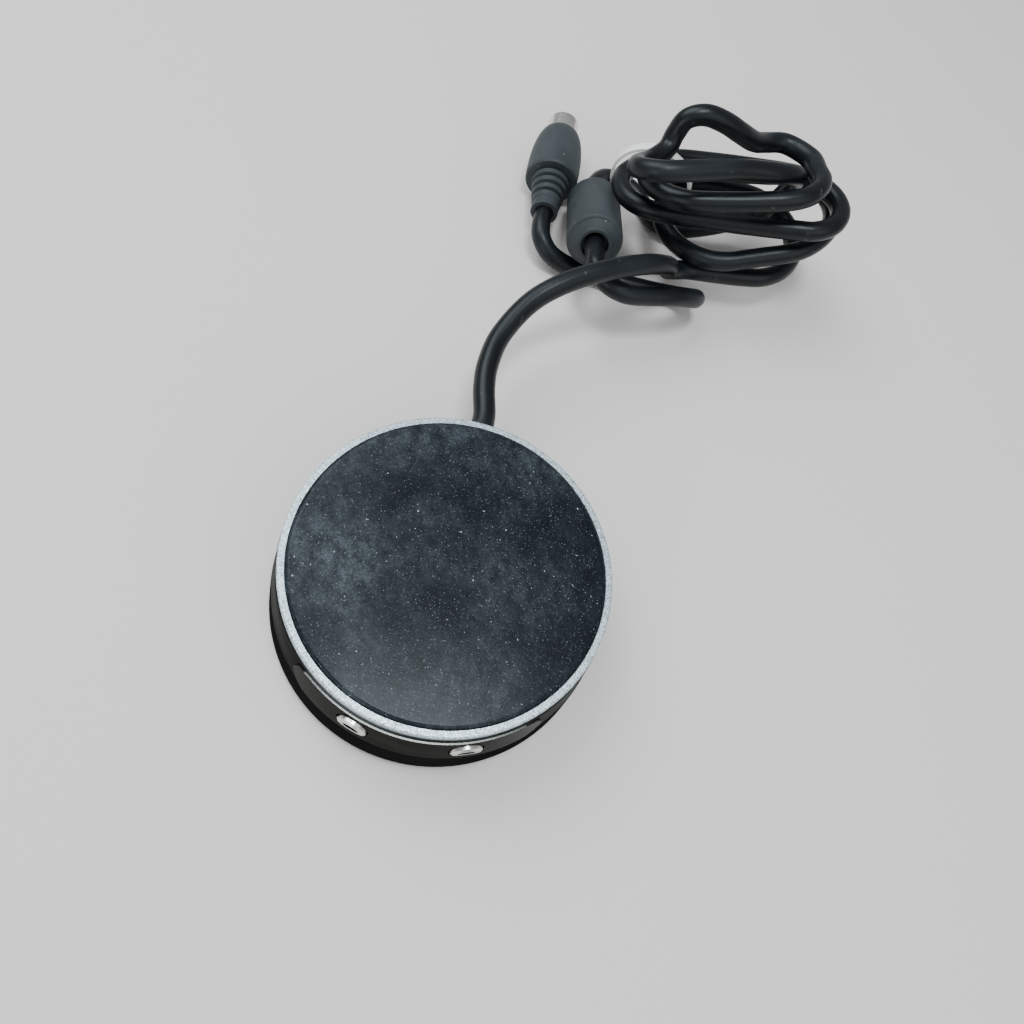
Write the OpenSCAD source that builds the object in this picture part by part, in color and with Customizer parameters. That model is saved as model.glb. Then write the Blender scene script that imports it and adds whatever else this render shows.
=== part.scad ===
// Volume control pod on a cord, in millimetres: front towards -Y, cord out of +Y, +Z up, desk at z = 0.
// A weighted puck with a rubber touch pad in a silver rim, a turning volume ring geared to an encoder,
// two 3.5 mm sockets, and a tied hank of cord with a ferrite choke and a round plug.

/* [Pod] */
// Thickness of the rubber foot ring
foot_t = 2; // [1.6:0.1:2.6]
// Distance of the foot ring's edge from the base plate's edge
foot_inset = 1.9; // [1.4:0.1:2.9]
// Width of the foot ring
foot_w = 5.5; // [4:0.25:6]
// Depth that the foot is let into the base plate
foot_sunk = 0.6; // [0.4:0.1:1]
// Thickness of the base plate
base_t = 2.4; // [2.2:0.1:3]
// Thickness of the steel ballast plate
ballast_t = 3.6; // [2:0.2:4]
// Height of the body band between the groove and the rim
band_h = 11.7; // [11.2:0.1:13]
// Diameter of the body band at its lower edge
band_d = 73.8; // [73:0.2:75]
// Wall of the body band
wall = 2.4; // [2:0.1:2.6]
// How far the silver rim lies inside the band's lower edge
rim_inset = 1.9; // [1.2:0.1:2.2]
// Height of the silver rim
rim_h = 2; // [1.6:0.1:2.4]
// Width of the silver rim round the touch pad
rim_w = 1.6; // [1.4:0.1:3]
// Thickness of the touch pad
pad_t = 1.8; // [1.5:0.1:2.4]
// Depth that the pad is let into the rim
pad_sunk = 1.4; // [1:0.1:1.6]
// Radius of the pad's edge
pad_edge = 1; // [0.4:0.1:1.4]

/* [Volume ring] */
// How far the volume ring stands out past the band
ring_flare = 1.1; // [0.9:0.1:2.6]
// Height of the volume ring
ring_h = 9.4; // [8.6:0.1:10.4]
// Shadow gap between the ring and the body band
groove = 1; // [0.6:0.1:1.4]
// How far the spigot that the ring turns on lies inside the band
bearing_inset = 1.7; // [1.5:0.1:2]
// Thickness of the ring's toothed web
web_t = 2.4; // [1.8:0.1:2.8]
// Thickness of each glide ring
glide_t = 0.8; // [0.5:0.1:1]
// How far the ring's pitch circle lies inside the spigot
gear_inset = 5.2; // [5:0.1:5.6]
// Teeth inside the ring
ring_teeth = 75; // [75:1:76]
// Teeth of the encoder's pinion
pinion_teeth = 15; // [14:1:16]

/* [Sockets] */
// Angle of each socket from the front
jack_angle = 18.5; // [17:0.5:22]
// Bore of each socket
jack_bore = 3.6; // [3.55:0.05:3.7]
// Depth of each socket's bore
jack_depth = 14; // [12:0.5:14.5]
// Outer diameter of the nickel barrels
barrel_d = 6.6; // [6:0.1:7]
// How far the barrels stand out of the panel
barrel_proud = 0.55; // [0.2:0.1:1.5]
// Half the angle that the socket panel covers
panel_angle = 44.5; // [38:0.5:50]
// How far the panel stands out of the band
panel_proud = 0.4; // [0.25:0.05:0.6]

/* [Cord] */
// Outer diameter of the cord
cord_d = 5.5; // [5:0.1:5.6]
// Outer diameter of the ferrite choke's case
ferrite_d = 16; // [14:0.2:16.4]
// Length of the ferrite choke's case
ferrite_l = 27; // [25:0.5:28]
// Outer diameter of the plug's metal shell
plug_shell_d = 9.5; // [9.3:0.1:9.8]
// Length of the plug's shell that shows
plug_shell_l = 5.5; // [4.5:0.5:7]
// Largest diameter of the plug's body
plug_body_d = 16; // [15:0.2:16.4]
// Width of the tie's white band
tie_w = 2.6; // [2:0.1:3]

/* [Hidden] */
$fn = 96;

// Clearances: a seat, a running fit, an axial running gap, a screw hole and a free gap
seat = 0.1;
run_fit = 0.08;
run_gap = 0.2;
screw_gap = 0.1;
free_gap = 0.4;

// Levels from the desk up
ring_lift = 0.5;
deck_t = 1.4;
board_stand = 0.5;
board_t = 1.2;
block_h = 5.8;
base_z0 = foot_t - foot_sunk;
base_z1 = base_z0 + base_t;
web_z0 = base_z1 + glide_t + run_gap;
web_z1 = web_z0 + web_t;
spigot_z0 = web_z1 + run_gap + glide_t;
ring_z0 = base_z0 + ring_lift;
ring_z1 = ring_z0 + ring_h;
band_z0 = ring_z1 + groove;
deck_z1 = band_z0 + deck_t;
board_z0 = deck_z1 + board_stand;
board_z1 = board_z0 + board_t;
jack_z = board_z1 + block_h/2;
cord_z = jack_z;
rim_z0 = band_z0 + band_h;
rim_z1 = rim_z0 + rim_h;
plate_z0 = rim_z0 - 1.8;
film_t = 0.2;
pad_z0 = rim_z1 - pad_sunk;
film_z0 = pad_z0 - film_t;

// Radii
band_r = band_d/2;
rim_r = band_r - rim_inset;
pad_r = rim_r - rim_w;
film_r = pad_r - 3.4;
rim_edge = 0.4;
band_step = 0.3;
band_top_r = rim_r + band_step;
band_edge = 0.5;
bearing_r = band_r - bearing_inset;
bore_r = bearing_r + run_fit;
ring_r = band_r + ring_flare;
ring_top_r = band_r + 0.3;
ring_edge = 1.2;
base_r = bore_r - free_gap;
foot_r1 = base_r - foot_inset;
foot_r0 = foot_r1 - foot_w;
gear_r = bearing_r - gear_inset;
gear_m = 2*gear_r/ring_teeth;
gear_tip = gear_r - 0.75*gear_m;
gear_root = gear_r + 1.25*gear_m;
pinion_r = gear_m*pinion_teeth/2;
pinion_tip = pinion_r + gear_m;
pinion_x = gear_r - pinion_r;
backlash = 0.24;
glide_r0 = gear_root + 0.5;
glide_r1 = bearing_r - 0.6;
ballast_r = gear_tip - 1.6;
board_r = band_top_r - wall - 1.5;

// Fasteners
case_screw_r = gear_tip - 6.9;
case_screw_d = 2.5;
case_head_d = 4.6;
case_head_h = 1.2;
case_at = [45, 135, 225, 315];
boss_d = 6;
post_d = 5.4;
small_screw_d = 2;
small_head_d = 4;
small_head_h = 1.2;
board_screw_r = board_r - 4.4;
board_at = [25, 165, 270];

// Chips and the touch pin on the board
chip_a_at = [-17, 1, 0];
chip_a = [7, 7, 1.2];
chip_b_at = [-4, -9, 0];
chip_b = [8, 5, 1.4];
pin_at = [-9, 12, 0];
touch_d = 1.4;

// Sockets
panel_glue = 0.05;
panel_rim = 0.6;
panel_z0 = band_z0 + panel_rim;
panel_z1 = rim_z0 - panel_rim;
panel_end = (panel_z1 - panel_z0)/2;
panel_turn = panel_angle - asin(panel_end/band_r);
jack_face = band_at(jack_z) + panel_proud + barrel_proud;
barrel_hole = barrel_d + 0.7;
block_w = 8;
block_front = board_r;
block_l = 11.2;

// Encoder, under the board, with its rotor inside
enc_w = 11;
enc_h = 5.6;
enc_z0 = board_z0 - enc_h;
shaft_d = 4;
rotor_d = 8;
rotor_t = 2;
rotor_room = 2.4;
bush_d = 7;

// Cord entry: cradle and saddle inside, bush in the wall
cord_r = cord_d/2;
cradle_y0 = band_r - 11.9;
cord_y0 = cradle_y0 - 1;
cradle_l = 4.6;
cradle_w = 15;
saddle_at = 5.4;
saddle_h = 3.3;
bush_r = cord_r + 1;
bush_flange_r = cord_r + 2.6;
bush_flange_t = 1.4;
bush_y1 = sqrt(pow(band_at(plate_z0) - wall, 2) - pow(bush_flange_r, 2)) - seat;
bush_y2 = band_at(cord_z) + 1.8;
header_w = 9;
header_l = 4.5;
header_h = 5.6;
header_y = cradle_y0 - 10;
wire_d = 0.9;
wire_pitch = 1.2;

function band_at(z) = band_top_r + (band_r - band_top_r)*(rim_z0 - z)/(rim_z0 - band_z0);
function unit(v) = v/norm(v);
function arc(c, r, a0, a1, n) = [for (i = [0:n]) c + r*[cos(a0 + (a1 - a0)*i/n), sin(a0 + (a1 - a0)*i/n)]];

// Involute teeth: half the tooth's angle at the pitch circle, and the flank's angle at a radius
function inv(a) = tan(a) - a*PI/180;
function flank(r, rb) = r <= rb ? 0 : inv(acos(rb/r))*180/PI;
function tooth_half(r, rp, rb, half) = half + flank(rp, rb) - flank(r, rb);

// Gear outline with tip and root radii, and a tooth thickened by extra at the pitch circle
module gear2d(teeth, tip, root, extra) {
    rp = gear_m*teeth/2;
    rb = rp*cos(20);
    half = 90/teeth + extra/2/rp*180/PI;
    steps = 4;
    low = max(root, rb);
    low_half = tooth_half(low, rp, rb, half);
    polygon([for (k = [0:teeth - 1])
        each concat(
            [root*[cos(360*k/teeth - low_half), sin(360*k/teeth - low_half)]],
            [for (i = [0:steps])
                let (r = low + (tip - low)*i/steps, a = 360*k/teeth - tooth_half(r, rp, rb, half))
                r*[cos(a), sin(a)]],
            [for (i = [steps:-1:0])
                let (r = low + (tip - low)*i/steps, a = 360*k/teeth + tooth_half(r, rp, rb, half))
                r*[cos(a), sin(a)]],
            [root*[cos(360*k/teeth + low_half), sin(360*k/teeth + low_half)]])]);
}

// Cylinder between two heights
module rod(d, z0, z1) {
    translate([0, 0, z0]) cylinder(d = d, h = z1 - z0);
}

// Flat ring between two radii and two heights
module washer(r0, r1, z0, z1) {
    rotate_extrude() translate([r0, z0]) square([r1 - r0, z1 - z0]);
}

// Turns children so that their +Z points out of the pod at an angle, at the sockets' height
module radial(a) {
    rotate([0, 0, a]) translate([0, 0, jack_z]) rotate([0, 90, 0]) children();
}

// Section of the panel: a thin plate that follows the band
module panel_strip() {
    polygon([
        [band_at(panel_z0) + panel_glue, panel_z0], [band_at(panel_z0) + panel_proud, panel_z0],
        [band_at(panel_z1) + panel_proud, panel_z1], [band_at(panel_z1) + panel_glue, panel_z1]]);
}

// Axis through one of the panel's round ends
module panel_end_rod(s, r) {
    rotate([0, 0, -90 + s*panel_turn]) translate([0, 0, (panel_z0 + panel_z1)/2]) rotate([0, 90, 0])
        cylinder(r = r, h = band_r + 10);
}

// Tube swept along points, with its frame carried from ring to ring
function tangents(p) = [for (i = [0:len(p) - 1])
    i == 0 ? unit(p[1] - p[0]) :
    i == len(p) - 1 ? unit(p[i] - p[i - 1]) :
    unit(unit(p[i + 1] - p[i]) + unit(p[i] - p[i - 1]))];
function first_side(t) = unit(cross(t, abs(t[2]) < 0.8 ? [0, 0, 1] : [1, 0, 0]));
function sides(t, i, n) = i >= len(t) ? [] :
    let (m = unit(n - (n*t[i])*t[i])) concat([m], sides(t, i + 1, m));
module tube(p, r, s) {
    t = tangents(p);
    n = sides(t, 0, first_side(t[0]));
    pts = [for (i = [0:len(p) - 1]) for (k = [0:s - 1])
        p[i] + r*(cos(360*k/s)*n[i] + sin(360*k/s)*cross(t[i], n[i]))];
    last = (len(p) - 1)*s;
    wall_faces = [for (i = [0:len(p) - 2]) for (k = [0:s - 1])
        let (a = i*s + k, b = i*s + (k + 1)%s)
        each [[a, a + s, b], [b, a + s, b + s]]];
    cap0 = [for (k = [1:s - 2]) [0, k, k + 1]];
    cap1 = [for (k = [1:s - 2]) [last, last + k + 1, last + k]];
    polyhedron(pts, concat(wall_faces, cap0, cap1), convexity = 10);
}

// Hank: one row per turn with half length, middle along, half width, middle across, height, yaw,
// how far its left end sags and how far its far side tilts
hank_at = [58, 121, 0];
hank_turn = 16;
hank_from = 0.12;
hank_to = 3.4;
hank_start = -140;
hank_rings = 24;
hank_rows = [
    [25, -1, 13.5, 8, 7, -8, 0, -3],
    [23.5, 7, 17, 10, 24, 0.5, 10.5, -0.5],
    [33.5, 1, 12, 10.5, 29, -13.5, 9, -1.5],
    [23.5, -3.5, 12, 8.5, 36.5, -9, 9, -3.5],
    [24.5, -7, 9.5, 11, 42.5, 4.5, 7.5, -5]];

function ease(f) = f*f*(3 - 2*f);
function row_at(k, t) = let (i = floor(t), f = ease(t - i))
    hank_rows[i][k]*(1 - f) + hank_rows[i + 1][k]*f;
function turned(r, s, a) = r*[cos(a + s/r*180/PI), sin(a + s/r*180/PI)];
// Point of a loop with straight sides and round ends, at a share of its length from its right end
function loop_point(a, b, share) =
    let (bend = PI*b/2, side = 2*(a - b), s = (share - floor(share))*(4*bend + 2*side))
    s < bend ? [a - b, 0] + turned(b, s, 0) :
    s < bend + side ? [a - b - (s - bend), b] :
    s < 3*bend + side ? [b - a, 0] + turned(b, s - bend - side, 90) :
    s < 3*bend + 2*side ? [b - a + (s - 3*bend - side), -b] :
    [a - b, 0] + turned(b, s - 3*bend - 2*side, 270);
function hank_point(t) =
    let (
        a = row_at(0, t),
        b = row_at(2, t),
        p = loop_point(a, b, hank_start/360 + t),
        yaw = row_at(5, t))
    [row_at(1, t) + p[0]*cos(yaw) - p[1]*sin(yaw),
     row_at(3, t) + p[0]*sin(yaw) + p[1]*cos(yaw),
     row_at(4, t) + row_at(6, t)*(p[0]/a - 1)/2 + row_at(7, t)*p[1]/b];
function from_hank(p) = hank_at + [
    p[0]*cos(hank_turn) - p[1]*sin(hank_turn), p[0]*sin(hank_turn) + p[1]*cos(hank_turn), p[2]];
hank_steps = round((hank_to - hank_from)*hank_rings);
hank_line = [for (i = [0:hank_steps]) from_hank(hank_point(hank_from + (hank_to - hank_from)*i/hank_steps))];
hank_in = unit(hank_line[1] - hank_line[0]);
hank_out = unit(hank_line[hank_steps] - hank_line[hank_steps - 1]);
hank_gap = min([for (i = [0:hank_steps]) for (j = [i + 8:1:hank_steps])
    norm(hank_line[i] - hank_line[j])]) - cord_d;
function run(p) = len(p) < 2 ? 0 : sum_of([for (i = [0:len(p) - 2]) norm(p[i + 1] - p[i])], 0);
function sum_of(v, i) = i >= len(v) ? 0 : v[i] + sum_of(v, i + 1);

// Ferrite choke and plug where they lie; the choke's near end faces the pod and rests on the plug's cord
ferrite_near = [19.5, 106, 16.5];
ferrite_azimuth = -87;
ferrite_pitch = 18;
ferrite_dir = [
    cos(ferrite_pitch)*cos(ferrite_azimuth), cos(ferrite_pitch)*sin(ferrite_azimuth), sin(ferrite_pitch)];
ferrite_far = ferrite_near - ferrite_l*ferrite_dir;
plug_at = [4.2, 121, 8.3];

// Line through all the points: halfway between two of them it takes the cubic set by the four nearest
function with_middles(p) = let (n = len(p) - 1) [for (i = [0:n])
    each i == 0 || i >= n - 1 ? [p[i]] : [p[i], (9*(p[i] + p[i + 1]) - p[i - 1] - p[i + 2])/16]];

// The cord's free stretches: points chosen by hand, with the choke and the plug in between
lead_line = concat(
    [[0, cord_y0, cord_z], [0, band_r - 0.9, cord_z]],
    [[0, 42, cord_z], [-1.5, 49, 18.5], [-2, 56, 19], [-0.5, 65, 20], [5, 75.5, 22.5], [13, 83, 25],
     [23, 90, 26], [33, 96.5, 25], [40, 102.5, 20.5], [42, 107.5, 14.5], [45, 111.5, 11]],
    [hank_line[0] - cord_d*hank_in, hank_line[0]]);
standing_line = concat(
    [hank_line[hank_steps], hank_line[hank_steps] + cord_d*hank_out],
    [[69.5, 144.5, 35.5], [65, 146, 35], [60, 144, 35], [55.5, 140, 37], [49.5, 136, 41],
     [44, 134.5, 43.5], [38, 133.5, 44.5], [33.5, 132.5, 42.5], [32, 131, 38.5], [31, 128, 35.5],
     [27, 123, 34.5], [23.5, 117.5, 36.5], [24.5, 113, 39.5], [30, 111.5, 42], [41, 115.5, 43],
     [50, 119.5, 43], [60, 123, 42.5], [66.5, 127.5, 40], [69, 132.5, 34], [69.5, 135.5, 26.5],
     [67, 136, 19], [59, 134, 13], [49, 133, 7.5], [42, 134, 4.5], [37, 139, 3],
     [33, 145.5, 3], [27.5, 149, 3], [21.5, 148, 4], [18.5, 143, 5.5]],
    [ferrite_far - cord_d*ferrite_dir, ferrite_far]);
plug_line = concat(
    [ferrite_near, ferrite_near + cord_d*ferrite_dir],
    [[20.5, 96.5, 19], [24, 92.5, 18.5], [30, 91.5, 17.5], [37, 94, 16.5], [45, 97.5, 15.5],
     [51, 101.5, 12.5], [53, 106, 8], [49, 109, 4], [41, 109, 3], [32, 108.5, 3],
     [23, 108.5, 3], [15, 108.5, 3.5], [9, 109, 5.5], [5.5, 111.5, 7.5]],
    [plug_at - [0, cord_d, 0], plug_at]);
tail_line = concat(with_middles(standing_line), with_middles(plug_line));

// White tie: its middle, its inner radius, its thickness, and the lean and turn of its axis
tie_at = [32.4, 135.4, 18];
tie_r = 11.3;
tie_t = 0.8;
tie_lean = 86;
tie_turn = 81;

echo(hank_gap = hank_gap, lead = run(lead_line), hank = run(hank_line), tail = run(tail_line));

// Choke's case: far edge and the collar round the cord at its near end
case_edge = 1.8;
collar_l = 2.2;
collar_r = 5.2;

// Plug, along its own axis from the cord's end to the tip
boot_l = 13;
boot_r = cord_r + 1.3;
boot_top = 5.8;
boot_neck = 3;
rib_count = 4;
rib_groove = 0.7;
body_l = 20;
shell_t = 0.5;
shell_in = 6;
shell_step = 0.2;
insert_l = 8;
pin_d = 0.9;
pin_sunk = 0.5;
plug_end = boot_l + body_l;
plug_r = plug_body_d/2;
plug_shell_r = plug_shell_d/2;
pin_circle = plug_shell_r - shell_t - 1.3;
nose_r = plug_shell_r + 0.4;
rib_pitch = (boot_l - boot_neck)/rib_count;
function boot_at(i) = boot_r + (boot_top - boot_r)*(i + 0.6)/rib_count;
function nose_at(f) = nose_r + (plug_r - nose_r)*pow(1 - pow(f, 2.2), 0.62);

// Rubber ring that stands on the desk, let into the base plate
module foot_ring() {
    color([0.08, 0.08, 0.09])
    washer(foot_r0, foot_r1, 0, foot_t);
}

// Base plate with the foot's groove and counterbored screw holes
module base_plate() {
    color([0.13, 0.13, 0.14])
    difference() {
        rod(2*base_r, base_z0, base_z1);
        washer(foot_r0 - seat, foot_r1 + seat, base_z0 - 1, foot_t);
        for (a = case_at) rotate([0, 0, a]) translate([case_screw_r, 0, 0]) {
            rod(case_screw_d + 2*screw_gap, 0, base_z1 + 1);
            rod(case_head_d + 2*screw_gap, 0, base_z0 + screw_gap + case_head_h);
        }
    }
}

// Steel plate that gives the pod its weight, cut out for the bosses and the pinion
module ballast_plate() {
    color([0.55, 0.56, 0.58])
    difference() {
        rod(2*ballast_r, base_z1, base_z1 + ballast_t);
        for (a = case_at) rotate([0, 0, a]) translate([case_screw_r, 0, 0])
            rod(boss_d + 2*free_gap, base_z1 - 1, base_z1 + ballast_t + 1);
        translate([pinion_x, 0, 0]) rod(2*(pinion_tip + 2*free_gap), base_z1 - 1, base_z1 + ballast_t + 1);
    }
}

// Slippery rings below and above the volume ring's web
module lower_glide() {
    color([0.9, 0.9, 0.87])
    washer(glide_r0, glide_r1, base_z1, base_z1 + glide_t);
}

module upper_glide() {
    color([0.9, 0.9, 0.87])
    washer(glide_r0, glide_r1, spigot_z0 - glide_t, spigot_z0);
}

// Volume ring: a flared skirt with a web inside, cut with internal teeth
module volume_ring() {
    color([0.07, 0.07, 0.08])
    difference() {
        rotate_extrude() polygon(concat(
            [[bore_r, ring_z0]],
            arc([ring_r - ring_edge, ring_z0 + ring_edge], ring_edge, -90, 0, 6),
            arc([ring_top_r - rim_edge, ring_z1 - rim_edge], rim_edge, 0, 90, 3),
            [[bore_r, ring_z1], [bore_r, web_z1], [gear_tip, web_z1], [gear_tip, web_z0], [bore_r, web_z0]]));
        translate([0, 0, web_z0 - 1]) linear_extrude(web_t + 2)
            gear2d(ring_teeth, gear_root, gear_tip - 0.5, backlash/2);
    }
}

// Body: flared band, deck, bearing spigot, screw bosses, standoffs and the cord's cradle
module body_shell() {
    color([0.1, 0.1, 0.11])
    difference() {
        union() {
            rotate_extrude() polygon([
                [0, band_z0], [glide_r0, band_z0], [glide_r0, spigot_z0], [bearing_r, spigot_z0],
                [bearing_r, band_z0], [band_r, band_z0], [band_at(rim_z0 - band_edge), rim_z0 - band_edge],
                [band_top_r - band_edge, rim_z0], [band_top_r - wall, rim_z0], [band_r - wall, deck_z1],
                [0, deck_z1]]);
            for (a = case_at) rotate([0, 0, a]) translate([case_screw_r, 0, 0]) rod(boss_d, base_z1, deck_z1);
            for (a = board_at) rotate([0, 0, a]) translate([board_screw_r, 0, 0])
                rod(small_head_d, band_z0, board_z0);
            translate([-cradle_w/2, cradle_y0, band_z0]) cube([cradle_w, cradle_l, cord_z - seat - band_z0]);
        }
        for (a = case_at) rotate([0, 0, a]) translate([case_screw_r, 0, 0])
            rod(case_screw_d + 2*screw_gap, base_z1 - 1, deck_z1 + 1);
        for (a = board_at) rotate([0, 0, a]) translate([board_screw_r, 0, 0])
            rod(small_screw_d + 2*screw_gap, band_z0 - 1, board_z0 + 1);
        translate([pinion_x, 0, (band_z0 + deck_z1)/2])
            cube([enc_w + 2*free_gap, enc_w + 2*free_gap, deck_t + 2], center = true);
        for (s = [-1, 1]) radial(-90 + s*jack_angle) cylinder(d = barrel_hole, h = band_r + 5);
        radial(90) translate([0, 0, cradle_y0 - 1]) cylinder(r = cord_r + seat, h = cradle_l + 2);
        radial(90) translate([0, 0, cradle_y0 + cradle_l]) cylinder(r = bush_r + seat, h = band_r);
        for (s = [-1, 1]) translate([s*saddle_at, cradle_y0 + cradle_l/2, 0])
            rod(small_screw_d + 2*screw_gap, deck_z1, cord_z + 1);
    }
}

// Long screws from under the base, through the bosses into the rim plate's posts
module case_screws() {
    color([0.6, 0.6, 0.62])
    for (a = case_at) rotate([0, 0, a]) translate([case_screw_r, 0, 0]) {
        rod(case_head_d, base_z0 + screw_gap, base_z0 + screw_gap + case_head_h);
        rod(case_screw_d, base_z0 + screw_gap, plate_z0 - 3);
    }
}

// Encoder under the board: a box with a bushing, hollow for its rotor
module encoder_body() {
    color([0.2, 0.22, 0.25])
    translate([pinion_x, 0, 0]) difference() {
        union() {
            translate([-enc_w/2, -enc_w/2, enc_z0]) cube([enc_w, enc_w, enc_h]);
            rod(bush_d, web_z1 + 2*run_gap, enc_z0 + 1);
        }
        rod(shaft_d + 2*run_fit, web_z1, board_z0);
        rod(rotor_d + 2*free_gap, board_z0 - rotor_t - 2*free_gap, board_z0 + 1);
    }
}

// Pinion, shaft and rotor, which turn together inside the encoder
module encoder_pinion() {
    color([0.92, 0.9, 0.82])
    translate([pinion_x, 0, 0]) {
        translate([0, 0, web_z0 - run_gap]) linear_extrude(web_t + 2*run_gap)
            gear2d(pinion_teeth, pinion_tip, pinion_r - 1.25*gear_m, -backlash/2);
        rod(shaft_d, web_z0 - run_gap, board_z0 - free_gap);
        rod(rotor_d, board_z0 - free_gap - rotor_t, board_z0 - free_gap);
    }
}

// Circuit board, notched for the cradle and drilled for the posts
module main_board() {
    color([0.1, 0.35, 0.2])
    difference() {
        rod(2*board_r, board_z0, board_z1);
        for (a = case_at) rotate([0, 0, a]) translate([case_screw_r, 0, 0])
            rod(post_d + 2*free_gap, board_z0 - 1, board_z1 + 1);
        for (a = board_at) rotate([0, 0, a]) translate([board_screw_r, 0, 0])
            rod(small_screw_d + 2*screw_gap, board_z0 - 1, board_z1 + 1);
        translate([-cradle_w/2 - free_gap, cradle_y0 - free_gap, board_z0 - 1])
            cube([cradle_w + 2*free_gap, board_r, board_t + 2]);
    }
}

module board_screws() {
    color([0.6, 0.6, 0.62])
    for (a = board_at) rotate([0, 0, a]) translate([board_screw_r, 0, 0]) {
        rod(small_head_d, board_z1, board_z1 + small_head_h);
        rod(small_screw_d, band_z0 + 0.2, board_z1 + small_head_h/2);
    }
}

// Controller and amplifier chips on the board
module board_chips() {
    color([0.06, 0.06, 0.07])
    translate([0, 0, board_z1]) {
        translate(chip_a_at) cube(chip_a);
        translate(chip_b_at) cube(chip_b);
    }
}

// One socket: a moulded block on the board and a nickel barrel through the panel
module socket_block(a) {
    color([0.05, 0.05, 0.06])
    radial(a) difference() {
        translate([-block_h/2, -block_w/2, block_front - block_l]) cube([block_h, block_w, block_l]);
        translate([0, 0, jack_face - jack_depth]) cylinder(d = jack_bore, h = jack_depth);
    }
}

module socket_barrel(a) {
    color([0.75, 0.72, 0.66])
    radial(a) rotate_extrude() polygon([
        [jack_bore/2, block_front], [barrel_d/2, block_front], [barrel_d/2, jack_face - rim_edge],
        [barrel_d/2 - rim_edge, jack_face], [jack_bore/2, jack_face]]);
}

module headphone_block() { socket_block(-90 - jack_angle); }
module headphone_barrel() { socket_barrel(-90 - jack_angle); }
module input_block() { socket_block(-90 + jack_angle); }
module input_barrel() { socket_barrel(-90 + jack_angle); }

// Glossy plate glued on the band round the two barrels
module jack_panel() {
    color([0.14, 0.14, 0.15])
    difference() {
        rotate([0, 0, -90 - panel_turn - 15]) rotate_extrude(angle = 2*panel_turn + 30)
            panel_strip();
        for (s = [-1, 1]) difference() {
            rotate([0, 0, -90 + s*panel_turn]) translate([band_r/2, s < 0 ? -band_r : 0, panel_z0 - 1])
                cube([band_r, band_r, panel_z1 - panel_z0 + 2]);
            panel_end_rod(s, panel_end + seat/2);
        }
        for (s = [-1, 1]) radial(-90 + s*jack_angle) cylinder(d = barrel_hole, h = band_r + 5);
    }
}

// White header on the board, and the cord's wires that end in it
module cord_header() {
    color([0.9, 0.88, 0.82])
    translate([-header_w/2, header_y, board_z1]) cube([header_w, header_l, header_h]);
}

module cord_wires() {
    color([0.7, 0.2, 0.15])
    for (i = [-1.5:1:1.5]) translate([i*wire_pitch, header_y + header_l, cord_z]) rotate([-90, 0, 0])
        cylinder(d = wire_d, h = cord_y0 - header_y - header_l, $fn = 24);
}

// Saddle that holds the cord down on the cradle, and its two screws
module cord_saddle() {
    color([0.12, 0.12, 0.13])
    difference() {
        translate([-cradle_w/2, cradle_y0, cord_z + seat]) cube([cradle_w, cradle_l, saddle_h]);
        radial(90) translate([0, 0, cradle_y0 - 1]) cylinder(r = cord_r + seat, h = cradle_l + 2);
        for (s = [-1, 1]) translate([s*saddle_at, cradle_y0 + cradle_l/2, 0]) {
            rod(small_screw_d + 2*screw_gap, cord_z, cord_z + saddle_h + 1);
            rod(small_head_d + 2*screw_gap, cord_z + saddle_h - small_head_h, cord_z + saddle_h + 1);
        }
    }
}

module saddle_screws() {
    color([0.6, 0.6, 0.62])
    for (s = [-1, 1]) translate([s*saddle_at, cradle_y0 + cradle_l/2, 0]) {
        rod(small_screw_d, deck_z1 + 0.5, cord_z + saddle_h - small_head_h);
        rod(small_head_d, cord_z + saddle_h - small_head_h, cord_z + saddle_h);
    }
}

// Rubber bush where the cord leaves the wall
module cord_bush() {
    color([0.07, 0.07, 0.08])
    difference() {
        union() {
            intersection() {
                radial(90) translate([0, 0, bush_y1 - bush_flange_t])
                    cylinder(r = bush_flange_r, h = bush_flange_t);
                translate([-bush_flange_r - 1, 0, deck_z1 + seat])
                    cube([2*bush_flange_r + 2, band_r, plate_z0 - deck_z1 - 2*seat]);
            }
            radial(90) translate([0, 0, bush_y1 - bush_flange_t/2])
                cylinder(r = bush_r, h = bush_y2 - bush_y1 + bush_flange_t/2);
        }
        radial(90) cylinder(r = cord_r + seat, h = bush_y2 + 1);
    }
}

// Sprung contact pin from the board to the touch film
module touch_pin() {
    color([0.8, 0.65, 0.3])
    translate(pin_at) {
        rod(touch_d, board_z1, film_z0);
        rod(touch_d + 1, board_z1, board_z1 + 3);
    }
}

// Top plate: silver rim, pad recess, and posts down to the deck
module rim_plate() {
    color([0.68, 0.69, 0.7])
    difference() {
        union() {
            rotate_extrude() polygon(concat(
                [[0, plate_z0], [band_top_r - wall - seat, plate_z0], [band_top_r - wall - seat, rim_z0],
                 [rim_r, rim_z0]],
                arc([rim_r - rim_edge, rim_z1 - rim_edge], rim_edge, 0, 90, 4),
                [[pad_r + seat, rim_z1], [pad_r + seat, pad_z0], [film_r + seat, pad_z0],
                 [film_r + seat, film_z0], [0, film_z0]]));
            for (a = case_at) rotate([0, 0, a]) translate([case_screw_r, 0, 0])
                rod(post_d, deck_z1, plate_z0 + 0.5);
        }
        for (a = case_at) rotate([0, 0, a]) translate([case_screw_r, 0, 0])
            rod(case_screw_d + 2*screw_gap, deck_z1 - 1, plate_z0 - 2);
        translate(pin_at) rod(touch_d + 2*free_gap, plate_z0 - 1, rim_z1);
    }
}

// Copper film under the pad, which feels the touch
module touch_film() {
    color([0.75, 0.45, 0.3])
    rod(2*film_r, film_z0, pad_z0);
}

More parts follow.
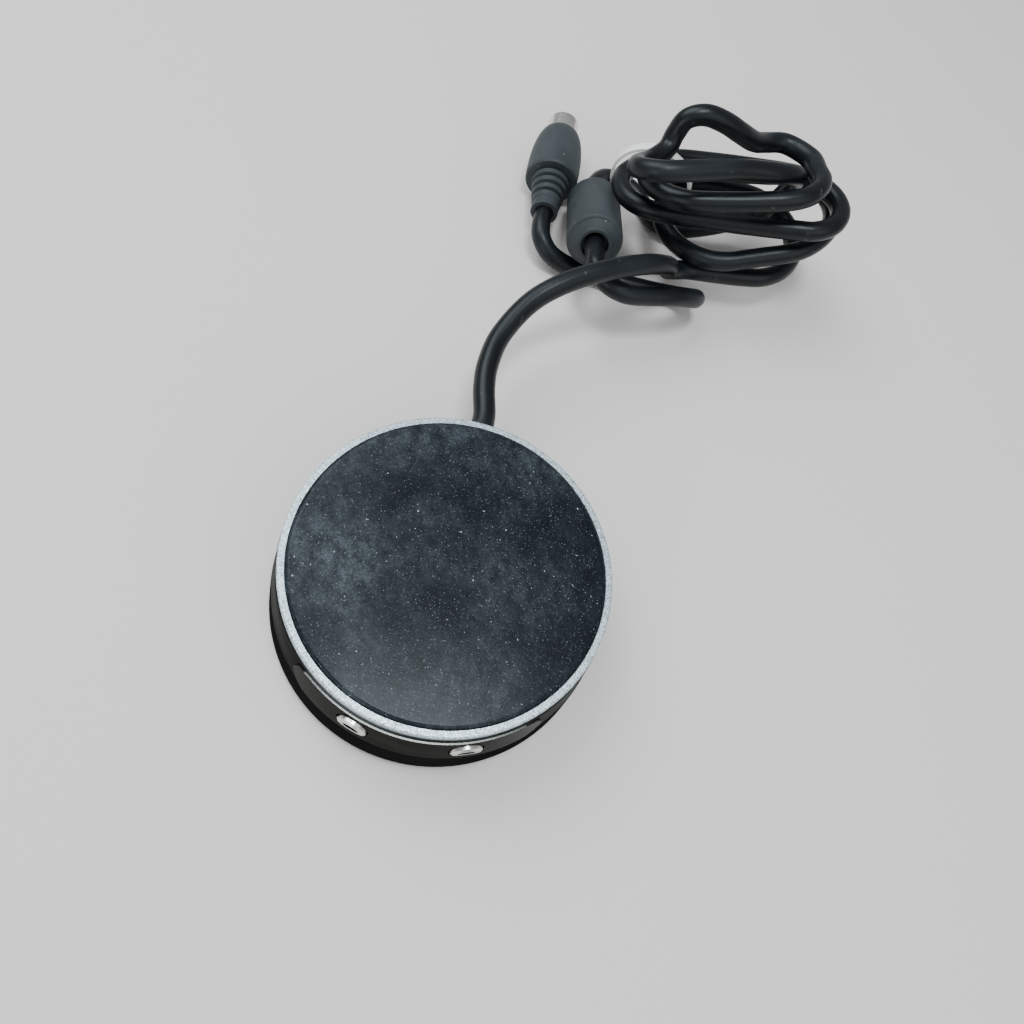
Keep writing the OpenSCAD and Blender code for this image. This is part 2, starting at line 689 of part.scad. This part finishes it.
// Rubber pad with a rounded edge, a little proud of the rim
module touch_pad() {
    color([0.12, 0.13, 0.15])
    rotate_extrude() polygon(concat(
        [[0, pad_z0], [pad_r, pad_z0]],
        arc([pad_r - pad_edge, pad_z0 + pad_t - pad_edge], pad_edge, 0, 90, 8),
        [[0, pad_z0 + pad_t]]));
}

// The cord's stretches
module cord_lead() {
    color([0.05, 0.05, 0.06])
    tube(lead_line, cord_r, 10);
}

module cord_hank() {
    color([0.05, 0.05, 0.06])
    tube(hank_line, cord_r, 6);
}

module cord_tail() {
    color([0.05, 0.05, 0.06])
    tube(tail_line, cord_r, 10);
}

// Turns children so that their +Z runs along the choke from its far end
module along_ferrite() {
    translate(ferrite_far) rotate([0, 90 - ferrite_pitch, ferrite_azimuth]) children();
}

// Ferrite tube inside the moulded case
module ferrite_core() {
    color([0.25, 0.25, 0.26])
    along_ferrite() difference() {
        translate([0, 0, 4]) cylinder(d = ferrite_d - 3, h = ferrite_l - 11);
        cylinder(r = cord_r + seat, h = ferrite_l);
    }
}

module ferrite_case() {
    color([0.16, 0.17, 0.18])
    along_ferrite() difference() {
        rotate_extrude() polygon(concat(
            [[0, 0]],
            arc([ferrite_d/2 - case_edge, case_edge], case_edge, -90, 0, 6),
            arc([ferrite_d/2 - 1, ferrite_l - collar_l - 1], 1, 0, 90, 4),
            arc([collar_r - 0.8, ferrite_l - 0.8], 0.8, 0, 90, 4),
            [[cord_r + 1.2, ferrite_l], [cord_r + 1.2, ferrite_l - collar_l], [0, ferrite_l - collar_l]]));
        translate([0, 0, -1]) cylinder(r = cord_r + seat, h = ferrite_l + 2);
        translate([0, 0, 4 - seat]) cylinder(d = ferrite_d - 3 + 2*seat, h = ferrite_l - 11 + 2*seat);
    }
}

// White tie round the hank's left end
module cord_tie() {
    color([0.93, 0.92, 0.88])
    translate(tie_at) rotate([0, tie_lean, tie_turn])
        washer(tie_r, tie_r + tie_t, -tie_w/2, tie_w/2);
}

// Turns children so that their +Z runs along the plug from the cord's end to the tip
module along_plug() {
    translate(plug_at) rotate([-90, 0, 0]) children();
}

// Ribbed strain relief on the plug's cord end
module plug_boot() {
    color([0.15, 0.16, 0.17])
    along_plug() difference() {
        rotate_extrude() polygon(concat(
            [[0, 0], [boot_r, 0], [boot_r, boot_neck]],
            [for (i = [0:rib_count - 1]) let (z = boot_neck + i*rib_pitch) each [
                [boot_at(i), z + 0.3], [boot_at(i) + 0.2, z + 0.65*rib_pitch],
                [boot_at(i) - rib_groove, z + 0.75*rib_pitch],
                [boot_at(i) - rib_groove + 0.1, z + rib_pitch]]],
            [[0, boot_l]]));
        translate([0, 0, -1]) cylinder(r = cord_r + seat, h = 3);
    }
}

// Plug body: a shoulder at the boot, then a long taper to the shell
module plug_body() {
    color([0.15, 0.16, 0.17])
    along_plug() difference() {
        rotate_extrude() polygon(concat(
            [[0, boot_l], [plug_r - 0.5, boot_l], [plug_r - 0.1, boot_l + 0.6]],
            [for (i = [0:12]) [nose_at(i/12), boot_l + 5 + (body_l - 5)*i/12]],
            [[0, plug_end]]));
        translate([0, 0, plug_end - shell_in])
            cylinder(r = plug_shell_r - shell_step + seat, h = shell_in + 1);
    }
}

// Metal shell, the insert that carries the pins, and the pins
module plug_shell() {
    color([0.8, 0.8, 0.8])
    along_plug() {
        washer(plug_shell_r - shell_t, plug_shell_r - shell_step, plug_end - shell_in, plug_end + shell_t);
        washer(plug_shell_r - shell_t, plug_shell_r, plug_end, plug_end + plug_shell_l);
    }
}

module plug_insert() {
    color([0.06, 0.06, 0.07])
    along_plug() difference() {
        rod(2*(plug_shell_r - shell_t - seat), plug_end - shell_in, plug_end - shell_in + insert_l);
        for (i = [0:7]) rotate([0, 0, 45*i + 22.5]) translate([pin_circle, 0, 0])
            rod(pin_d + 2*seat, plug_end - shell_in + 2, plug_end + insert_l);
    }
}

module plug_pins() {
    color([0.8, 0.7, 0.4])
    along_plug() for (i = [0:7]) rotate([0, 0, 45*i + 22.5]) translate([pin_circle, 0, 0])
        rod(pin_d, plug_end - shell_in + 2, plug_end + plug_shell_l - pin_sunk);
}

foot_ring();
base_plate();
ballast_plate();
lower_glide();
volume_ring();
upper_glide();
body_shell();
case_screws();
encoder_body();
encoder_pinion();
main_board();
board_screws();
board_chips();
headphone_block();
headphone_barrel();
input_block();
input_barrel();
jack_panel();
cord_header();
cord_wires();
cord_saddle();
saddle_screws();
cord_bush();
touch_pin();
rim_plate();
touch_film();
touch_pad();
cord_lead();
cord_hank();
cord_tail();
ferrite_core();
ferrite_case();
cord_tie();
plug_boot();
plug_body();
plug_shell();
plug_insert();
plug_pins();
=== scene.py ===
# Volume control pod on a cord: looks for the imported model, in metres, in the model's own frame.
import math
import bpy
import numpy as np
from mathutils import Matrix


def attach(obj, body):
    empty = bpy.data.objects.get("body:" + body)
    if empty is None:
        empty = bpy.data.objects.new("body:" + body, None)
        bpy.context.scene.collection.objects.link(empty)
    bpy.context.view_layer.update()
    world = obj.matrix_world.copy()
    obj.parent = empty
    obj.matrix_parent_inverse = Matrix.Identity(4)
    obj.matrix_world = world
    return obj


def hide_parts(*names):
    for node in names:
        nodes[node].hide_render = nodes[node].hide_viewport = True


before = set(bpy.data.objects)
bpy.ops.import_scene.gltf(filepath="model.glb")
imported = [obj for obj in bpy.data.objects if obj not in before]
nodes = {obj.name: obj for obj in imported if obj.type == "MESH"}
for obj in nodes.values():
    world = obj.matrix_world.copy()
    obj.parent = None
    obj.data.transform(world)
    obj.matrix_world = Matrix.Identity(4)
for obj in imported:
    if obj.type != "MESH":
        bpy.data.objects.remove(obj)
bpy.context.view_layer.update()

# Camera
# The photograph was taken by hand from above the pod's front, a little to its left, with the
# camera rolled; these are its place, its three directions and its lens.
eye = (-0.00862, -0.05608, 0.17601)
right = (0.9625, 0.1776, 0.2051)
up = (-0.2469, 0.8870, 0.3902)
back = (-0.1126, -0.4262, 0.8976)
camera_data = bpy.data.cameras.new("camera")
camera_data.lens = 27.03
camera_data.sensor_width = 36.0
camera_data.clip_start = 0.005
camera = bpy.data.objects.new("camera", camera_data)
camera.matrix_world = Matrix(((right[0], up[0], back[0], eye[0]), (right[1], up[1], back[1], eye[1]),
                              (right[2], up[2], back[2], eye[2]), (0, 0, 0, 1)))
bpy.context.scene.collection.objects.link(camera)
bpy.context.scene.camera = camera


# Cord
# A round cord with a black rubber jacket, 5.5 mm thick, pulled through the pod's bush and clamped
# inside. It rises over its own tail, is wound into a tied hank, and comes back through the choke to the plug.
CORD_D = 0.0055
# The route is in millimetres; a hank row is one turn, and the turns are counted from HANK_START on the loop.
HANK_ROWS = np.array([
    [25, -1, 13.5, 8, 7, -8, 0, -3],
    [23.5, 7, 17, 10, 24, 0.5, 10.5, -0.5],
    [33.5, 1, 12, 10.5, 29, -13.5, 9, -1.5],
    [23.5, -3.5, 12, 8.5, 36.5, -9, 9, -3.5],
    [24.5, -7, 9.5, 11, 42.5, 4.5, 7.5, -5]])
HANK_FROM, HANK_TO, HANK_START = 0.12, 3.4, -140 / 360
HANK_AT, HANK_TURN = (58, 121), math.radians(16)
LEAD = [[0, 24, 18.3], [0, 36, 18.3],
        [0, 42, 18.3], [-1.5, 49, 18.5], [-2, 56, 19], [-0.5, 65, 20], [5, 75.5, 22.5],
        [13, 83, 25], [23, 90, 26], [33, 96.5, 25], [40, 102.5, 20.5], [42, 107.5, 14.5],
        [45, 111.5, 11]]
STANDING = [[69.5, 144.5, 35.5], [65, 146, 35], [60, 144, 35], [55.5, 140, 37], [49.5, 136, 41],
            [44, 134.5, 43.5], [38, 133.5, 44.5], [33.5, 132.5, 42.5], [32, 131, 38.5], [31, 128, 35.5],
            [27, 123, 34.5], [23.5, 117.5, 36.5], [24.5, 113, 39.5], [30, 111.5, 42], [41, 115.5, 43],
            [50, 119.5, 43], [60, 123, 42.5], [66.5, 127.5, 40], [69, 132.5, 34], [69.5, 135.5, 26.5],
            [67, 136, 19], [59, 134, 13], [49, 133, 7.5], [42, 134, 4.5], [37, 139, 3],
            [33, 145.5, 3], [27.5, 149, 3], [21.5, 148, 4], [18.5, 143, 5.5]]
TO_PLUG = [[20.5, 96.5, 19], [24, 92.5, 18.5], [30, 91.5, 17.5], [37, 94, 16.5], [45, 97.5, 15.5],
           [51, 101.5, 12.5], [53, 106, 8], [49, 109, 4], [41, 109, 3], [32, 108.5, 3],
           [23, 108.5, 3], [15, 108.5, 3.5], [9, 109, 5.5], [5.5, 111.5, 7.5]]
FERRITE_NEAR = np.array([19.5, 106.0, 16.5])
FERRITE_L = 27.0
FERRITE_AZIMUTH, FERRITE_PITCH = math.radians(-87), math.radians(18)
FERRITE_DIR = np.array([math.cos(FERRITE_PITCH) * math.cos(FERRITE_AZIMUTH),
                        math.cos(FERRITE_PITCH) * math.sin(FERRITE_AZIMUTH), math.sin(FERRITE_PITCH)])
PLUG_AT = np.array([4.2, 121.0, 8.3])


def hank_points(t):
    """Loops with straight sides and round ends: each turn's half length, middle along, half width, middle
    across, height and yaw ease from one row of the table to the next; its left end sags and its far side
    tilts by the last two columns. The whole is turned about Z and set at its place on the desk."""
    i = np.floor(t).astype(int)
    f = (t - i) ** 2 * (3 - 2 * (t - i))
    a, uc, b, vc, w, yaw, sag, tilt = (HANK_ROWS[i] * (1 - f)[:, None] + HANK_ROWS[i + 1] * f[:, None]).T
    bend, side = math.pi * b / 2, 2 * (a - b)
    s = np.mod(HANK_START + t, 1) * (4 * bend + 2 * side)
    turn_right = np.where(s < bend, s / b, 1.5 * math.pi + (s - 3 * bend - 2 * side) / b)
    turn_left = math.pi / 2 + (s - bend - side) / b
    on_far = (s >= bend) & (s < bend + side)
    on_left = (s >= bend + side) & (s < 3 * bend + side)
    on_near = (s >= 3 * bend + side) & (s < 3 * bend + 2 * side)
    u = np.where(on_far, a - b - (s - bend), np.where(on_left, b - a + b * np.cos(turn_left), np.where(
        on_near, b - a + (s - 3 * bend - side), a - b + b * np.cos(turn_right))))
    v = np.where(on_far, b, np.where(on_left, b * np.sin(turn_left), np.where(
        on_near, -b, b * np.sin(turn_right))))
    c, n = np.cos(np.radians(yaw)), np.sin(np.radians(yaw))
    x, y = uc + u * c - v * n, vc + u * n + v * c
    c, n = math.cos(HANK_TURN), math.sin(HANK_TURN)
    z = w + sag * (u / a - 1) / 2 + tilt * v / b
    return np.stack([HANK_AT[0] + x * c - y * n, HANK_AT[1] + x * n + y * c, z], 1)


def smooth_line(p, steps):
    """A line through all the points: between two of them, the cubic whose slopes are half the step from
    the point before to the point after."""
    q = np.vstack([2 * p[0] - p[1], p, 2 * p[-1] - p[-2]])
    f = (np.arange(steps) / steps)[None, :, None]
    a, b, c, d = (q[i:len(q) - 3 + i, None] for i in range(4))
    mid = 0.5 * (2 * b + (c - a) * f + (2 * a - 5 * b + 4 * c - d) * f ** 2
                 + (3 * b - a - 3 * c + d) * f ** 3)
    return np.vstack([mid.reshape(-1, 3), p[-1:]])


RINGS_PER_TURN = 24
STRAIGHT = 5.5
turns = np.linspace(HANK_FROM, HANK_TO, int(round((HANK_TO - HANK_FROM) * RINGS_PER_TURN)) + 1)
hank = hank_points(turns)
hank_in = (hank[1] - hank[0]) / np.linalg.norm(hank[1] - hank[0])
hank_out = (hank[-1] - hank[-2]) / np.linalg.norm(hank[-1] - hank[-2])
ferrite_far = FERRITE_NEAR - FERRITE_L * FERRITE_DIR
route = np.vstack([
    LEAD, hank[:1] - STRAIGHT * hank_in, hank, hank[-1:] + STRAIGHT * hank_out, STANDING,
    ferrite_far - STRAIGHT * FERRITE_DIR, ferrite_far, ferrite_far + FERRITE_L / 3 * FERRITE_DIR,
    FERRITE_NEAR - FERRITE_L / 3 * FERRITE_DIR, FERRITE_NEAR, FERRITE_NEAR + STRAIGHT * FERRITE_DIR,
    TO_PLUG, PLUG_AT - [0, STRAIGHT, 0], PLUG_AT + [0, 0.5, 0]])
route = smooth_line(route, 6) / 1000
cord_curve = bpy.data.curves.new("cord", "CURVE")
cord_curve.dimensions = "3D"
cord_curve.twist_mode = "MINIMUM"
cord_curve.bevel_depth = CORD_D / 2
cord_curve.bevel_resolution = 6
cord_curve.use_fill_caps = True
spline = cord_curve.splines.new("POLY")
spline.points.add(len(route) - 1)
spline.points.foreach_set("co", np.hstack([route, np.ones((len(route), 1))]).ravel())
cord = bpy.data.objects.new("cord", cord_curve)
bpy.context.scene.collection.objects.link(cord)


def add(tree, kind, **values):
    """A shader node of that kind; a value's name is a setting of the node, or else one of its inputs."""
    n = tree.nodes.new(kind)
    for name, value in values.items():
        if hasattr(n, name):
            setattr(n, name, value)
        else:
            n.inputs[name.replace("_", " ")].default_value = value
    return n


def blank(name):
    """An empty finish: its tree, its shader, and Object coordinates for its patterns."""
    m = bpy.data.materials.new(name)
    m.use_nodes = True
    tree = m.node_tree
    return m, tree, tree.nodes["Principled BSDF"], tree.nodes.new("ShaderNodeTexCoord").outputs["Object"]


def speckle(tree, where, scale, low, high, detail=4.0, stretch=None, turn=0.0, rough=0.5):
    """Noise of that many waves to a metre, turned about Z and then squeezed along the axes if asked,
    spread so that low gives 0 and high gives 1; rough weighs its finer waves."""
    if stretch:
        m = add(tree, "ShaderNodeMapping", vector_type="TEXTURE", Scale=tuple(1 / c for c in stretch),
                Rotation=(0, 0, math.radians(turn)))
        tree.links.new(where, m.inputs["Vector"])
        where = m.outputs["Vector"]
    n = add(tree, "ShaderNodeTexNoise", Scale=scale, Detail=detail, Roughness=rough)
    tree.links.new(where, n.inputs["Vector"])
    r = add(tree, "ShaderNodeMapRange", From_Min=low, From_Max=high)
    tree.links.new(n.outputs["Fac"], r.inputs["Value"])
    return r.outputs["Result"]


def blend_colour(tree, fac, a, b):
    """The colour a where fac is 0 and b where it is 1; either may be a socket."""
    m = add(tree, "ShaderNodeMix", data_type="RGBA")
    tree.links.new(fac, m.inputs[0])
    for value, socket in ((a, m.inputs[6]), (b, m.inputs[7])):
        if isinstance(value, tuple):
            socket.default_value = (*value, 1)
        else:
            tree.links.new(value, socket)
    return m.outputs[2]


def ranged(tree, fac, low, high):
    """fac, from 0 to 1, carried to low to high."""
    r = add(tree, "ShaderNodeMapRange", To_Min=low, To_Max=high)
    tree.links.new(fac, r.inputs["Value"])
    return r.outputs["Result"]


def raised(tree, shader, height, depth, strength=0.4):
    """Bump of that depth in metres from a height between 0 and 1."""
    b = add(tree, "ShaderNodeBump", Strength=strength, Distance=depth)
    tree.links.new(height, b.inputs["Height"])
    tree.links.new(b.outputs["Normal"], shader.inputs["Normal"])


def jacket_finish():
    """Satin black rubber: dust lies on it in faint clouds, with paler rubbed marks and a fine pebble."""
    m, tree, shader, where = blank("cord_jacket")
    cloud = speckle(tree, where, 45, 0.45, 0.75)
    mark = speckle(tree, where, 420, 0.68, 0.8)
    colour = blend_colour(tree, cloud, (0.003, 0.004, 0.005), (0.01, 0.013, 0.016))
    tree.links.new(blend_colour(tree, mark, colour, (0.06, 0.06, 0.062)), shader.inputs["Base Color"])
    tree.links.new(ranged(tree, cloud, 0.34, 0.48), shader.inputs["Roughness"])
    shader.inputs["Specular IOR Level"].default_value = 0.26
    raised(tree, shader, speckle(tree, where, 2400, 0.3, 0.7), 0.00004, 0.3)
    return m


jacket = jacket_finish()
cord_curve.materials.append(jacket)
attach(cord, "pod")
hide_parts("cord_lead", "cord_hank", "cord_tail")


# Choke and plug
# A ferrite tube in a moulded case, and a round plug whose boot and body are moulded on in the same
# dark grey plastic, with a fine spark-eroded grain and paler rubbed places.
def moulded_finish(name, dark, pale, rough, shine=0.5, nick=None):
    """Moulded plastic: the colour wanders between two shades, the paler one rougher, with pale rubbed specks
    and a fine grain; with a nick's colour given, small knocks show it."""
    m, tree, shader, where = blank(name)
    cloud = speckle(tree, where, 60, 0.4, 0.7)
    scuff = speckle(tree, where, 700, 0.68, 0.78)
    colour = blend_colour(tree, cloud, dark, pale)
    colour = blend_colour(tree, scuff, colour, tuple(min(1, 2.2 * c + 0.03) for c in pale))
    if nick:
        colour = blend_colour(tree, speckle(tree, where, 520, 0.765, 0.785, 2), colour, nick)
    tree.links.new(colour, shader.inputs["Base Color"])
    tree.links.new(ranged(tree, cloud, rough, rough + 0.12), shader.inputs["Roughness"])
    shader.inputs["Specular IOR Level"].default_value = shine
    raised(tree, shader, speckle(tree, where, 3200, 0.3, 0.7), 0.00006, 0.5)
    return m


def dress(finish, *names):
    """Gives CAD nodes a finish in place of their plain one."""
    for n in names:
        nodes[n].data.materials.clear()
        nodes[n].data.materials.append(finish)


plug_moulding = moulded_finish("plug_moulding", (0.029, 0.034, 0.036), (0.048, 0.055, 0.058), 0.52, 0.26,
                               (0.4, 0.39, 0.37))
dress(plug_moulding, "ferrite_case", "plug_boot", "plug_body")
dress(moulded_finish("ferrite_ceramic", (0.05, 0.05, 0.052), (0.08, 0.08, 0.083), 0.6), "ferrite_core")


def plated_finish(name, colour, rough):
    """Plated metal: a little tarnish darkens it in places, and fine marks vary its gloss."""
    m, tree, shader, where = blank(name)
    tarnish = speckle(tree, where, 180, 0.45, 0.75)
    dull = tuple(0.78 * c for c in colour)
    tree.links.new(blend_colour(tree, tarnish, colour, dull), shader.inputs["Base Color"])
    shader.inputs["Metallic"].default_value = 1.0
    marks = speckle(tree, where, 1500, 0.3, 0.7)
    tree.links.new(ranged(tree, marks, rough, rough + 0.14), shader.inputs["Roughness"])
    return m


nickel = plated_finish("bright_nickel", (0.78, 0.75, 0.7), 0.16)
brass = plated_finish("contact_plating", (0.83, 0.64, 0.34), 0.24)
steel = plated_finish("zinc_steel", (0.6, 0.61, 0.63), 0.32)
dress(nickel, "plug_shell")
dress(brass, "plug_pins")
socket_black = moulded_finish("socket_moulding", (0.012, 0.012, 0.013), (0.02, 0.02, 0.021), 0.42)
dress(socket_black, "plug_insert")

# Tie
# A white plastic band, closed round turns of the cord at the hank's left end,
# which it keeps together.
dress(moulded_finish("tie_band", (0.86, 0.84, 0.77), (0.93, 0.91, 0.86), 0.5), "cord_tie")

# Foot, base and ballast
# A rubber ring pressed into the moulded base plate, and a steel plate on it that gives the pod its weight;
# four long screws hold the base, the shell and the rim plate together.
dress(moulded_finish("foot_rubber", (0.016, 0.016, 0.017), (0.03, 0.03, 0.032), 0.7), "foot_ring")
base_black = moulded_finish("base_moulding", (0.018, 0.018, 0.019), (0.03, 0.03, 0.032), 0.5)
dress(base_black, "base_plate", "cord_saddle")
dress(steel, "ballast_plate", "case_screws", "board_screws", "saddle_screws")


# Volume ring, body and socket panel
# Moulded and sprayed near-black: the ring is dull, the body and the panel carry a dark gloss lacquer,
# and dust and small specks show on all three.
def gloss_finish(name, colour, rough, lacquer=None):
    """Sprayed plastic: a smooth dark skin with grey dust specks and faint rub marks round the pod. With a
    lacquer it is a dark mirror, and lacquer holds down its shine at a glancing angle; without, it is dull."""
    m, tree, shader, where = blank(name)
    dust = speckle(tree, where, 900, 0.66, 0.74)
    rub = speckle(tree, where, 60, 0.42, 0.7, stretch=(1, 1, 3))
    base = blend_colour(tree, rub, colour, tuple(1.3 * c for c in colour))
    tree.links.new(blend_colour(tree, dust, base, (0.035, 0.035, 0.037)), shader.inputs["Base Color"])
    tree.links.new(ranged(tree, rub, rough, rough + 0.1), shader.inputs["Roughness"])
    shader.inputs["Specular IOR Level"].default_value = 0.5 if lacquer else 0.0
    if lacquer:
        shader.inputs["Metallic"].default_value = 1.0
        shader.inputs["Specular Tint"].default_value = (lacquer, lacquer, lacquer, 1)
    raised(tree, shader, speckle(tree, where, 1400, 0.3, 0.7), 0.00002, 0.2)
    return m


dress(gloss_finish("ring_spray", (0.009, 0.0088, 0.0084), 0.45), "volume_ring")
dress(gloss_finish("body_spray", (0.036, 0.0355, 0.034), 0.34, 0.3), "body_shell")
dress(gloss_finish("panel_gloss", (0.06, 0.059, 0.056), 0.2, 0.34), "jack_panel")
dress(moulded_finish("glide_plastic", (0.78, 0.78, 0.75), (0.86, 0.86, 0.83), 0.35),
      "lower_glide", "upper_glide")


# Sockets
# Two 3.5 mm sockets, one to either side of the front: each is a black moulded block soldered to the board
# and a turned, nickel-plated barrel that shows in the panel; the barrel's bore is painted near-black as
# shade.
SOCKET_ANGLE, SOCKET_HEIGHT, BORE_R = math.radians(18.5), 0.0183, 0.0018


def socket_plating_and_painted_bore_shade():
    """Plating outside, and painted shade in the bore: within the bore's radius the metal is coloured
    near-black and not metallic.
    With X and Y made positive both sockets lie on one axis, and a point's distance from it is the length of
    the cross product of the axis and the point, taken at socket height."""
    m = plated_finish("socket_nickel", (0.78, 0.75, 0.7), 0.2)
    tree = m.node_tree
    shader = tree.nodes["Principled BSDF"]
    plating = shader.inputs["Base Color"].links[0].from_socket
    side = add(tree, "ShaderNodeVectorMath", operation="ABSOLUTE")
    tree.links.new(tree.nodes["Texture Coordinate"].outputs["Object"], side.inputs[0])
    low = add(tree, "ShaderNodeVectorMath", operation="SUBTRACT")
    tree.links.new(side.outputs["Vector"], low.inputs[0])
    low.inputs[1].default_value = (0, 0, SOCKET_HEIGHT)
    away = add(tree, "ShaderNodeVectorMath", operation="CROSS_PRODUCT")
    tree.links.new(low.outputs["Vector"], away.inputs[0])
    away.inputs[1].default_value = (math.sin(SOCKET_ANGLE), math.cos(SOCKET_ANGLE), 0)
    distance = add(tree, "ShaderNodeVectorMath", operation="LENGTH")
    tree.links.new(away.outputs["Vector"], distance.inputs[0])
    outside = add(tree, "ShaderNodeMapRange", From_Min=BORE_R + 0.00002, From_Max=BORE_R + 0.00012)
    tree.links.new(distance.outputs["Value"], outside.inputs["Value"])
    # Painted shade: within the bore's radius the barrel is coloured near-black and not metallic, standing in
    # for the shade inside the hole.
    tree.links.new(blend_colour(tree, outside.outputs["Result"], (0.006, 0.006, 0.006), plating),
                   shader.inputs["Base Color"])
    tree.links.new(outside.outputs["Result"], shader.inputs["Metallic"])
    return m


dress(socket_black, "headphone_block", "input_block", "encoder_body", "board_chips")
dress(socket_plating_and_painted_bore_shade(), "headphone_barrel", "input_barrel")

# Board and encoder
# A green circuit board with its chips, header and contact pin; the encoder under it carries a pinion of
# uncoloured plastic.
dress(moulded_finish("board_resist", (0.012, 0.09, 0.04), (0.02, 0.13, 0.06), 0.3), "main_board")
dress(moulded_finish("gear_plastic", (0.7, 0.67, 0.58), (0.78, 0.75, 0.66), 0.4),
      "encoder_pinion", "cord_header")
dress(moulded_finish("wire_cover", (0.3, 0.03, 0.025), (0.42, 0.05, 0.04), 0.35), "cord_wires")
dress(brass, "touch_pin", "touch_film")
dress(jacket, "cord_bush")


# Rim
# The edge of the moulded top plate, sprayed with a coarse silver sparkle paint.
# The plate's posts take the case screws from below.
def sparkle_finish():
    """Silver paint in flakes a quarter of a millimetre across, each with its own brightness and tilt."""
    m, tree, shader, where = blank("rim_sparkle")
    flakes = add(tree, "ShaderNodeTexVoronoi", Scale=4000)
    tree.links.new(where, flakes.inputs["Vector"])
    grey = add(tree, "ShaderNodeSeparateColor")
    tree.links.new(flakes.outputs["Color"], grey.inputs["Color"])
    tree.links.new(blend_colour(tree, grey.outputs["Red"], (0.2, 0.235, 0.255), (0.7, 0.79, 0.84)),
                   shader.inputs["Base Color"])
    tree.links.new(ranged(tree, grey.outputs["Green"], 0.28, 0.5), shader.inputs["Roughness"])
    shader.inputs["Metallic"].default_value = 0.5
    raised(tree, shader, grey.outputs["Blue"], 0.00003, 0.35)
    return m


dress(sparkle_finish(), "rim_plate")


# Touch pad
# A disc of soft dark rubber set in the rim plate's recess, over the touch film. It is used:
# dusty, wiped in places, with hair scratches and bright specks.
CLOUDS_FULL_X, CLOUDS_THIN_X = -0.024, 0.036


def times(tree, *factors):
    """The product of the factors, each a socket."""
    result = factors[0]
    for factor in factors[1:]:
        m = add(tree, "ShaderNodeMath", operation="MULTIPLY")
        tree.links.new(result, m.inputs[0])
        tree.links.new(factor, m.inputs[1])
        result = m.outputs[0]
    return result


def pad_finish():
    """Black rubber with a blue cast under dust: wide clouds, paler towards the left, broken by wiped streaks
    and by a fine grain; over them short hair scratches in five directions, small specks and a few large ones."""
    m, tree, shader, where = blank("pad_rubber")
    axes = add(tree, "ShaderNodeSeparateXYZ")
    tree.links.new(where, axes.inputs["Vector"])
    # The clouds are at full strength towards the left (-X) and fade to about a third towards +X.
    side = add(tree, "ShaderNodeMapRange", From_Min=CLOUDS_THIN_X, From_Max=CLOUDS_FULL_X, To_Min=0.35, To_Max=1.0)
    tree.links.new(axes.outputs["X"], side.inputs["Value"])
    cloud = speckle(tree, where, 45, 0.36, 0.66, 10, rough=0.64)
    streaks = speckle(tree, where, 1, 0.38, 0.62, 10, stretch=(420, 260, 1), turn=25, rough=0.62)
    wiped = ranged(tree, streaks, 0.25, 1)
    grain = ranged(tree, speckle(tree, where, 2400, 0.38, 0.68, 3), 0.35, 1)
    dust = times(tree, side.outputs["Result"], cloud, wiped, grain)
    colour = blend_colour(tree, dust, (0.004, 0.006, 0.0085), (0.085, 0.096, 0.108))
    for turn in (8, 47, 81, 118, 155):
        hair = speckle(tree, where, 1, 0.67, 0.76, 2, stretch=(380, 3600, 1), turn=turn)
        colour = blend_colour(tree, ranged(tree, hair, 0, 0.3), colour, (0.14, 0.155, 0.17))
    colour = blend_colour(tree, speckle(tree, where, 3000, 0.665, 0.735, 2), colour, (0.2, 0.21, 0.22))
    colour = blend_colour(tree, speckle(tree, where, 1300, 0.745, 0.775, 2), colour, (0.5, 0.51, 0.5))
    tree.links.new(colour, shader.inputs["Base Color"])
    tree.links.new(ranged(tree, dust, 0.26, 0.5), shader.inputs["Roughness"])
    shader.inputs["Specular IOR Level"].default_value = 0.14
    raised(tree, shader, grain, 0.00003, 0.25)
    return m


dress(pad_finish(), "touch_pad")

# Floor and light
# A plain pale floor, a wide soft light from the left and behind, weaker ones from the front and the right,
# and one straight above that shows as a sheen on the front of the pad and the rim.
FLOOR_HALF = 3
floor_mesh = bpy.data.meshes.new("floor")
floor_mesh.from_pydata([(x * FLOOR_HALF, y * FLOOR_HALF, 0) for x, y in ((-1, -1), (1, -1), (1, 1), (-1, 1))],
                       [], [(0, 1, 2, 3)])
floor = bpy.data.objects.new("floor", floor_mesh)
bpy.context.scene.collection.objects.link(floor)
pale, _, pale_shader, _ = blank("floor_pale")
pale_shader.inputs["Base Color"].default_value = (0.72, 0.65, 0.61, 1)
pale_shader.inputs["Roughness"].default_value = 0.7
floor_mesh.materials.append(pale)
aim = np.array([0.02, 0.05, 0.01])
for name, place, size, power in (
        ("key", (-0.45, 0.35, 0.75), 0.6, 7.0), ("fill", (0.5, -0.5, 0.6), 0.8, 3.0),
        ("front", (-0.35, -0.6, 0.3), 0.5, 2.0), ("top", (0.02, 0.0, 0.8), 0.2, 4.0)):
    light_data = bpy.data.lights.new(name, "AREA")
    light_data.size = size
    light_data.energy = power
    light_data.color = (0.84, 0.95, 1.0)
    light = bpy.data.objects.new(name, light_data)
    bpy.context.scene.collection.objects.link(light)
    z = np.array(place) - aim
    z = z / np.linalg.norm(z)
    x = np.cross([0, 0, 1.0], z)
    x = x / np.linalg.norm(x)
    y = np.cross(z, x)
    light.matrix_world = Matrix(((x[0], y[0], z[0], place[0]), (x[1], y[1], z[1], place[1]),
                                 (x[2], y[2], z[2], place[2]), (0, 0, 0, 1)))
world = bpy.data.worlds.new("studio")
world.use_nodes = True
world.node_tree.nodes["Background"].inputs["Color"].default_value = (0.9, 0.93, 1.0, 1)
world.node_tree.nodes["Background"].inputs["Strength"].default_value = 0.45
bpy.context.scene.world = world
